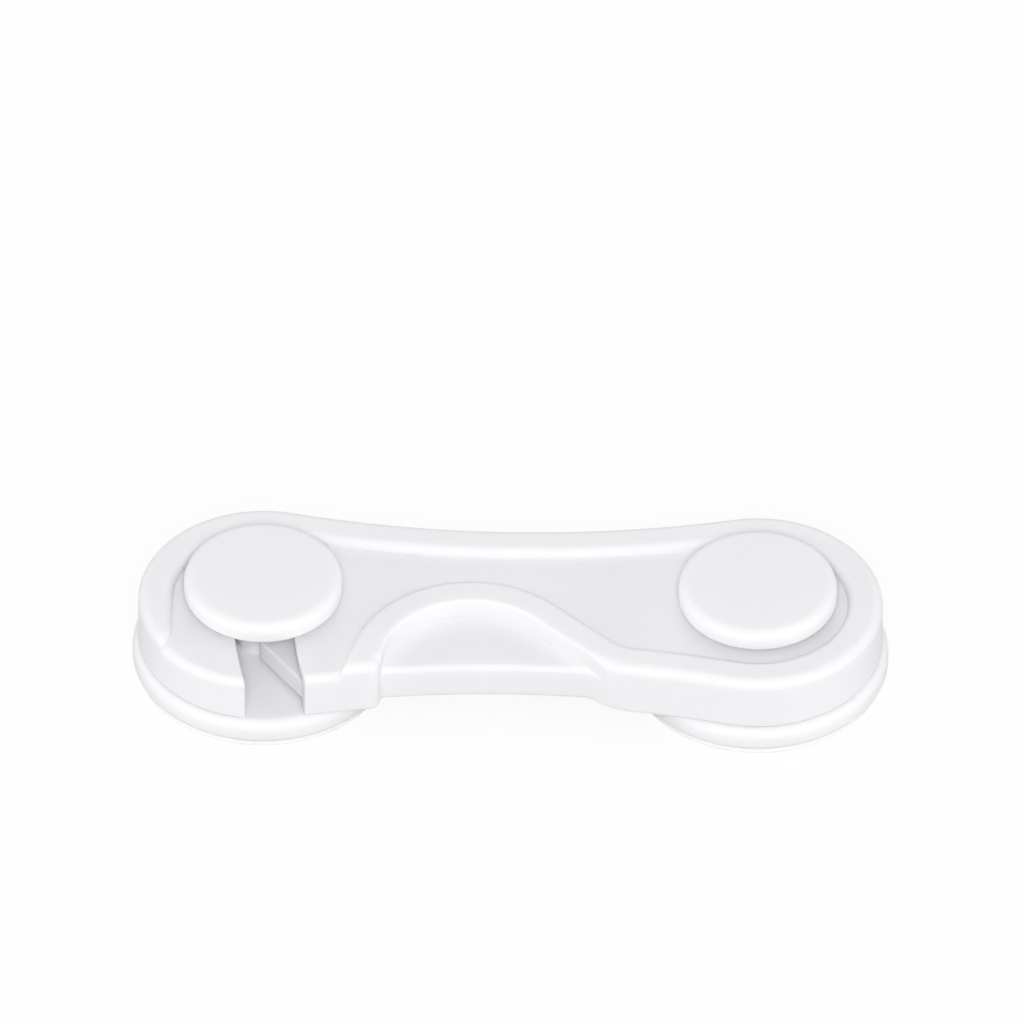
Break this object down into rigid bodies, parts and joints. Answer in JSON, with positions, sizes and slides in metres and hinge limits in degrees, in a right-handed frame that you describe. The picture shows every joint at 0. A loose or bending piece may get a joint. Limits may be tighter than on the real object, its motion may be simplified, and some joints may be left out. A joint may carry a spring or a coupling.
{
  "type": "cabinet safety lock",
  "caption": "Bone-shaped lever lock for cabinet doors: it turns on one stuck-on post and latches over another, with round cap knobs and foam adhesive discs.",
  "frame": {"origin": "midway between the two posts, on the plane that the adhesive pads are stuck to", "axes": "+X along the lever from the catch post to the pivot post, +Y to the plain long side, +Z out of the cabinet, along both posts"},
  "size_m": [0.1017, 0.0352, 0.0158],
  "materials": {
    "white_plastic": "satin moulded white ABS",
    "foam": "closed-cell white foam with adhesive on both faces",
    "liner_paper": "coated paper release liner, faint grey print"
  },
  "bodies": {
    "bases": {"pivot_base": "white_plastic", "catch_base": "white_plastic", "pivot_knob": "white_plastic", "catch_knob": "white_plastic", "pivot_pad": "foam", "catch_pad": "foam", "pivot_liner": "liner_paper", "catch_liner": "liner_paper"},
    "lever": {"lever_body": "white_plastic"},
    "finger": {"latch_finger": "white_plastic"}
  },
  "joints": [
    {"name": "lever_swing", "type": "hinge", "parent": "bases", "child": "lever", "pos_m": [0.03325, 0, 0], "axis": [0, 0, 1], "range_deg": [-180, 0]},
    {"name": "finger_bend", "type": "hinge", "parent": "lever", "child": "finger", "pos_m": [-0.02675, -0.01331, 0], "axis": [0, 0, 1], "range_deg": [-32, 0], "stiffness_Nm_per_rad": 0.02}
  ]
}
